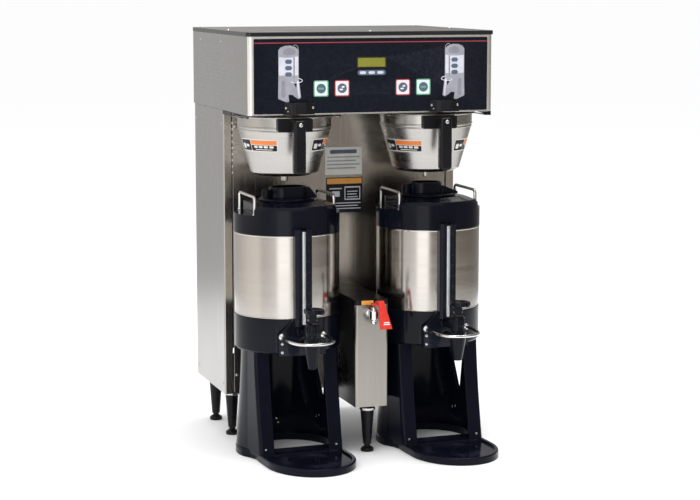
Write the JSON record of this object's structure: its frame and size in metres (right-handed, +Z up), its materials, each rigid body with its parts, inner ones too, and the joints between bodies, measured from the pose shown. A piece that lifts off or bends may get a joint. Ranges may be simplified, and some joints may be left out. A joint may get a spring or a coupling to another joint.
{
  "type": "commercial coffee brewer",
  "caption": "Commercial coffee brewer: stainless trunk and hood, brew funnels on rails, hot-water faucet box, and insulated servers on stands with taps and drip trays.",
  "frame": {"origin": "on the counter under the middle of the whole object's box", "axes": "+X to the right of someone facing the brewer, +Y from its front to its back, +Z up"},
  "size_m": [0.5411, 0.6279, 0.8878],
  "materials": {
    "stainless_sheet": "brushed stainless sheet",
    "spun_stainless": "spun and polished stainless",
    "tank_steel": "dull stainless",
    "black_plastic": "moulded black plastic, light satin",
    "server_plastic": "moulded blue-black plastic, satin",
    "panel_overlay": "printed gloss overlay",
    "circuit_board": "solder mask",
    "key_cap": "satin key",
    "chrome": "bright wire and bright plate",
    "red_plastic": "satin red",
    "clear_tube": "clear tube"
  },
  "bodies": {
    "brewer": {"hood_shell": "stainless_sheet", "top_lid": "black_plastic", "rear_cover": "stainless_sheet", "trunk_shell": "stainless_sheet", "trunk_front_panel": "stainless_sheet", "control_panel": "panel_overlay", "control_board": "circuit_board", "funnel_sensor_cover_left": "black_plastic", "funnel_sensor_cover_right": "black_plastic", "sprayhead_left": "spun_stainless", "sprayhead_right": "spun_stainless", "funnel_rail_left": "black_plastic", "funnel_rail_right": "black_plastic", "water_tank": "tank_steel", "faucet_box_body": "black_plastic", "faucet_box_front": "stainless_sheet", "faucet_box_cap": "black_plastic", "hot_water_faucet": "chrome", "leg_front_left": "black_plastic", "leg_front_right": "black_plastic", "leg_rear_left": "black_plastic", "leg_rear_right": "black_plastic", "leg_center": "black_plastic"},
    "hot_water_lever": {"hot_water_lever": "red_plastic"},
    "key_left_outer": {"key_left_outer": "key_cap"},
    "key_left_inner": {"key_left_inner": "key_cap"},
    "key_right_inner": {"key_right_inner": "key_cap"},
    "key_right_outer": {"key_right_outer": "key_cap"},
    "funnel_left": {"brew_funnel_left": "spun_stainless", "funnel_handle_left": "black_plastic", "filter_basket_left": "spun_stainless"},
    "server_left": {"server_stand_left": "server_plastic", "server_lower_housing_left": "server_plastic", "server_steel_jacket_left": "stainless_sheet", "server_upper_housing_left": "server_plastic", "server_vacuum_liner_left": "tank_steel", "server_gauge_guard_left": "server_plastic", "server_sight_tube_left": "clear_tube", "server_tap_body_left": "server_plastic", "server_cup_guard_left": "chrome", "server_carry_handle_a_left": "chrome", "server_carry_handle_b_left": "chrome"},
    "server_lid_left": {"server_lid_left": "server_plastic"},
    "tap_lever_left": {"server_tap_lever_left": "server_plastic"},
    "funnel_right": {"brew_funnel_right": "spun_stainless", "funnel_handle_right": "black_plastic", "filter_basket_right": "spun_stainless"},
    "server_right": {"server_stand_right": "server_plastic", "server_lower_housing_right": "server_plastic", "server_steel_jacket_right": "stainless_sheet", "server_upper_housing_right": "server_plastic", "server_vacuum_liner_right": "tank_steel", "server_gauge_guard_right": "server_plastic", "server_sight_tube_right": "clear_tube", "server_tap_body_right": "server_plastic", "server_cup_guard_right": "chrome", "server_carry_handle_a_right": "chrome", "server_carry_handle_b_right": "chrome"},
    "server_lid_right": {"server_lid_right": "server_plastic"},
    "tap_lever_right": {"server_tap_lever_right": "server_plastic"}
  },
  "joints": [
    {"name": "hot_water_lever_pull", "type": "hinge", "parent": "brewer", "child": "hot_water_lever", "pos_m": [0.007, -0.1778, 0.324], "axis": [-1, 0, 0], "range_deg": [0, 20], "stiffness_Nm_per_rad": 0.3, "springref_deg": -14.32},
    {"name": "key_left_outer_press", "type": "slide", "parent": "brewer", "child": "key_left_outer", "axis": [0, 1, 0], "range_m": [0, 0.0012], "stiffness_N_per_m": 1500, "springref_m": -0.0004},
    {"name": "key_left_inner_press", "type": "slide", "parent": "brewer", "child": "key_left_inner", "axis": [0, 1, 0], "range_m": [0, 0.0012], "stiffness_N_per_m": 1500, "springref_m": -0.0004},
    {"name": "key_right_inner_press", "type": "slide", "parent": "brewer", "child": "key_right_inner", "axis": [0, 1, 0], "range_m": [0, 0.0012], "stiffness_N_per_m": 1500, "springref_m": -0.0004},
    {"name": "key_right_outer_press", "type": "slide", "parent": "brewer", "child": "key_right_outer", "axis": [0, 1, 0], "range_m": [0, 0.0012], "stiffness_N_per_m": 1500, "springref_m": -0.0004},
    {"name": "funnel_slide_left", "type": "slide", "parent": "brewer", "child": "funnel_left", "axis": [0, -1, 0], "range_m": [0, 0.2]},
    {"name": "server_slide_left", "type": "slide", "parent": "brewer", "child": "server_left", "axis": [0, -1, 0], "range_m": [0, 0.3]},
    {"name": "server_lid_turn_left", "type": "hinge", "parent": "server_left", "child": "server_lid_left", "pos_m": [-0.1576, -0.0592, 0.545], "axis": [0, 0, 1], "range_deg": [0, 40]},
    {"name": "tap_lever_pull_left", "type": "hinge", "parent": "server_left", "child": "tap_lever_left", "pos_m": [-0.1576, -0.2442, 0.31], "axis": [1, 0, 0], "range_deg": [0, 25], "stiffness_Nm_per_rad": 0.2, "springref_deg": -17.19},
    {"name": "funnel_slide_right", "type": "slide", "parent": "brewer", "child": "funnel_right", "axis": [0, -1, 0], "range_m": [0, 0.2]},
    {"name": "server_slide_right", "type": "slide", "parent": "brewer", "child": "server_right", "axis": [0, -1, 0], "range_m": [0, 0.3]},
    {"name": "server_lid_turn_right", "type": "hinge", "parent": "server_right", "child": "server_lid_right", "pos_m": [0.1576, -0.0592, 0.545], "axis": [0, 0, 1], "range_deg": [0, 40]},
    {"name": "tap_lever_pull_right", "type": "hinge", "parent": "server_right", "child": "tap_lever_right", "pos_m": [0.1576, -0.2442, 0.31], "axis": [1, 0, 0], "range_deg": [0, 25], "stiffness_Nm_per_rad": 0.2, "springref_deg": -17.19}
  ]
}
